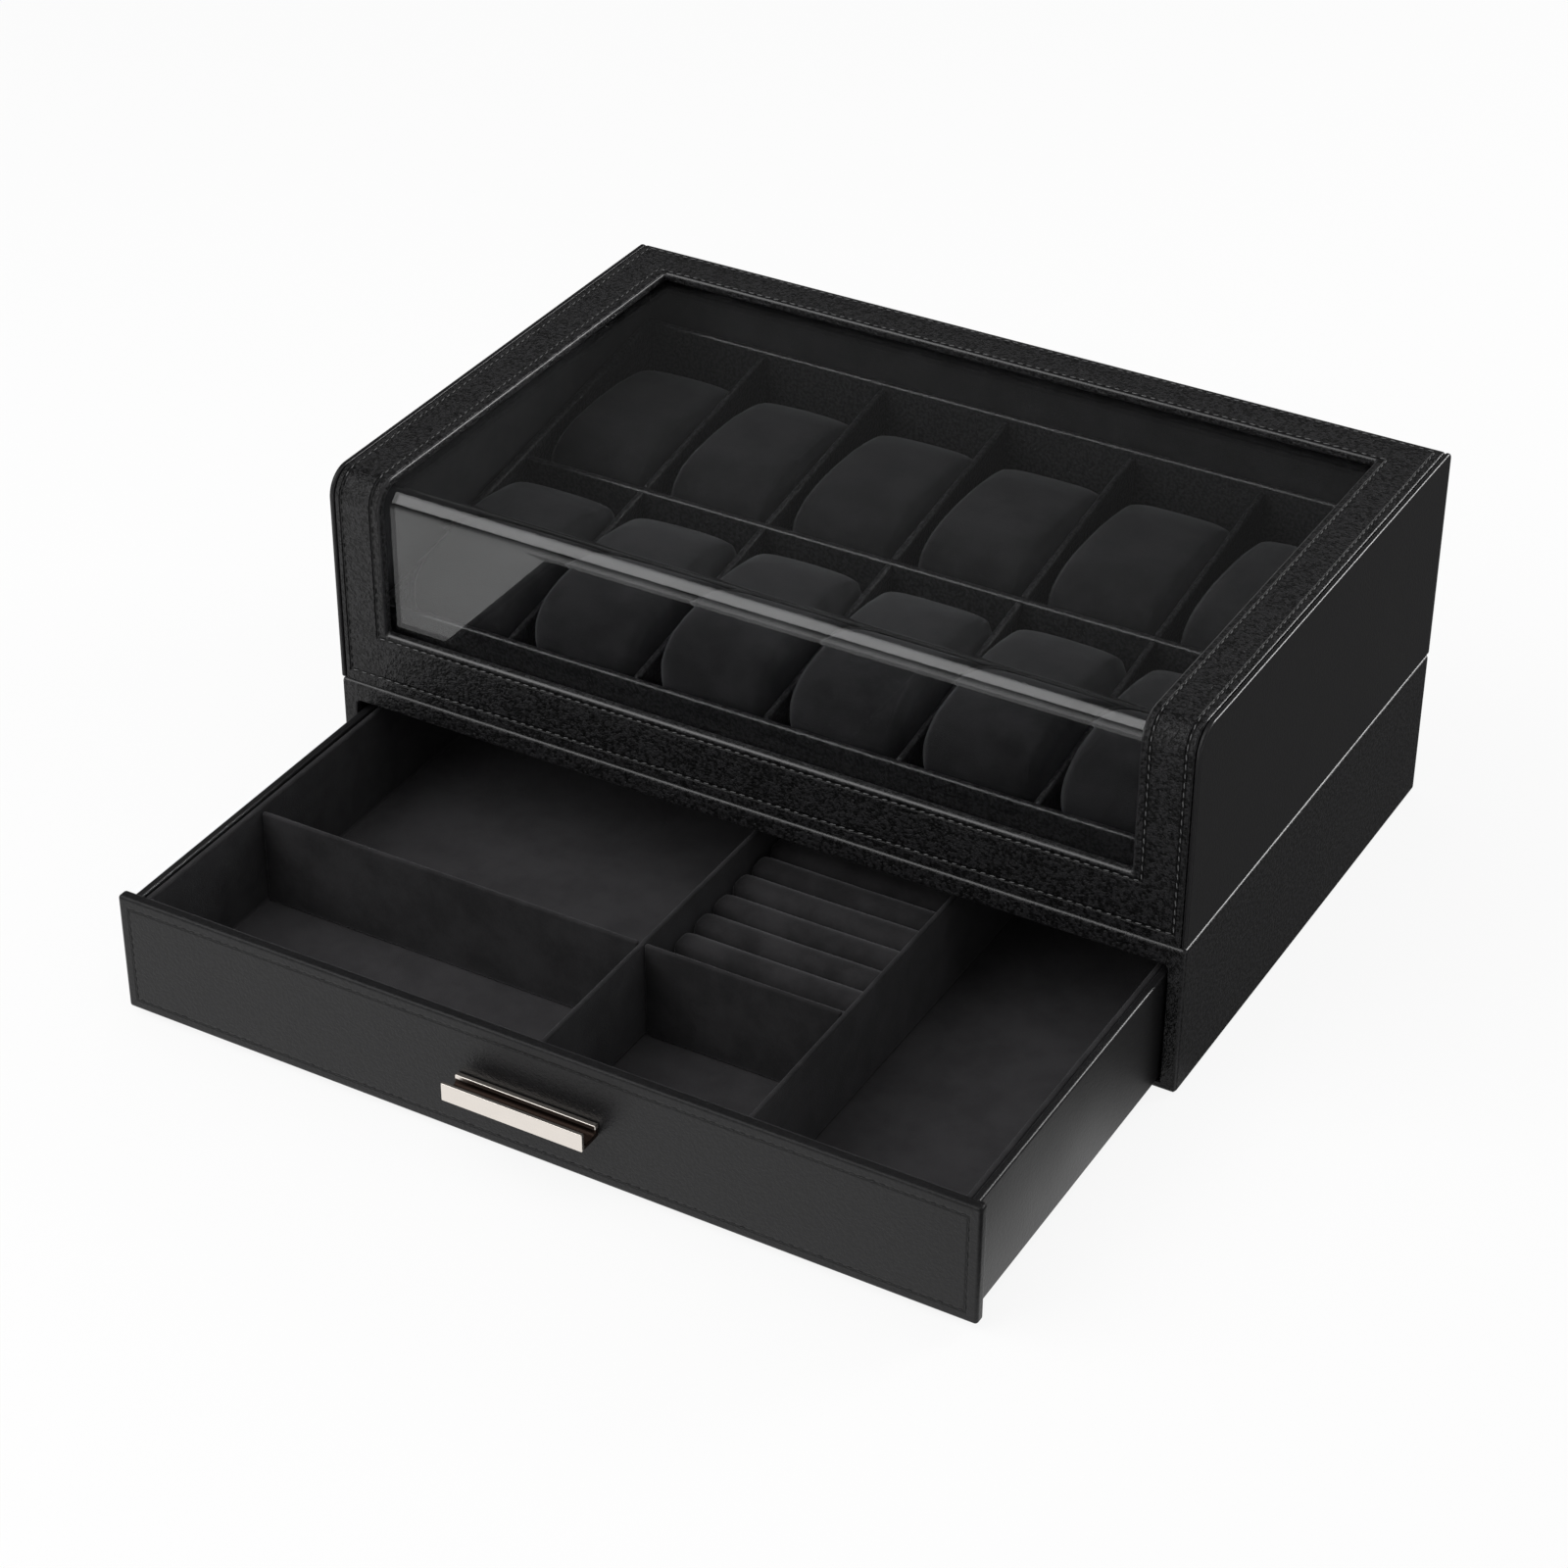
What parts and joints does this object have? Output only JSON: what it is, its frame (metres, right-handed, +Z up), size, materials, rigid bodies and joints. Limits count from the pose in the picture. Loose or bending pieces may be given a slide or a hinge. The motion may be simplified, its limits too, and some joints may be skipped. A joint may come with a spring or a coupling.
{
  "type": "watch box with drawer",
  "caption": "Rectangular leather-covered watch box with a hinged windowed lid over padded watch slots and a shallow divided jewellery drawer below.",
  "frame": {"origin": "centre of the underside of the case, on the surface that the box stands on", "axes": "+X to the right along the front, +Y from the drawer's pull to the hinges, +Z up"},
  "size_m": [0.33, 0.3598, 0.142],
  "materials": {
    "black_leather": "black pebbled leatherette, satin",
    "black_velvet": "black flocked velvet, matte",
    "black_felt": "black felt, matte",
    "clear_pane": "clear polished pane",
    "champagne_nickel": "satin champagne nickel",
    "hinge_steel": "nickel-plated steel"
  },
  "bodies": {
    "case": {"underside_felt": "black_felt", "bottom_panel": "black_leather", "case_left_wall": "black_leather", "case_right_wall": "black_leather", "case_back_wall": "black_leather", "deck_panel": "black_leather", "tray_floor": "black_velvet", "tray_left_wall": "black_leather", "tray_right_wall": "black_leather", "tray_front_wall": "black_leather", "tray_back_wall": "black_leather", "row_divider": "black_leather", "slot_divider_1": "black_leather", "slot_divider_2": "black_leather", "slot_divider_3": "black_leather", "slot_divider_4": "black_leather", "slot_divider_5": "black_leather", "watch_pillow_front_1": "black_velvet", "watch_pillow_front_2": "black_velvet", "watch_pillow_front_3": "black_velvet", "watch_pillow_front_4": "black_velvet", "watch_pillow_front_5": "black_velvet", "watch_pillow_front_6": "black_velvet", "watch_pillow_rear_1": "black_velvet", "watch_pillow_rear_2": "black_velvet", "watch_pillow_rear_3": "black_velvet", "watch_pillow_rear_4": "black_velvet", "watch_pillow_rear_5": "black_velvet", "watch_pillow_rear_6": "black_velvet", "hinge_left_case_leaf": "hinge_steel", "hinge_right_case_leaf": "hinge_steel", "hinge_left_pin": "hinge_steel", "hinge_right_pin": "hinge_steel"},
    "lid": {"lid_left_side": "black_leather", "lid_right_side": "black_leather", "lid_back_wall": "black_leather", "lid_front_rail": "black_leather", "lid_rear_rail": "black_leather", "lid_left_frame": "black_leather", "lid_right_frame": "black_leather", "display_pane": "clear_pane", "lid_left_lining": "black_velvet", "lid_right_lining": "black_velvet", "lid_back_lining": "black_velvet", "hinge_left_lid_leaf": "hinge_steel", "hinge_right_lid_leaf": "hinge_steel"},
    "drawer": {"drawer_front": "black_leather", "drawer_left_side": "black_leather", "drawer_right_side": "black_leather", "drawer_back": "black_leather", "drawer_bottom": "black_leather", "drawer_liner": "black_velvet", "drawer_left_long_divider": "black_velvet", "drawer_right_long_divider": "black_velvet", "drawer_left_cross_divider": "black_velvet", "drawer_middle_cross_divider": "black_velvet", "ring_cushion": "black_velvet", "drawer_pull": "champagne_nickel", "pull_screw_left": "champagne_nickel", "pull_screw_right": "champagne_nickel"}
  },
  "joints": [
    {"name": "lid_hinge", "type": "hinge", "parent": "case", "child": "lid", "pos_m": [0, 0.1074, 0.059], "axis": [-1, 0, 0], "range_deg": [0, 95]},
    {"name": "drawer_slide", "type": "slide", "parent": "case", "child": "drawer", "axis": [0, -1, 0], "range_m": [-0.1305, 0.035]}
  ]
}
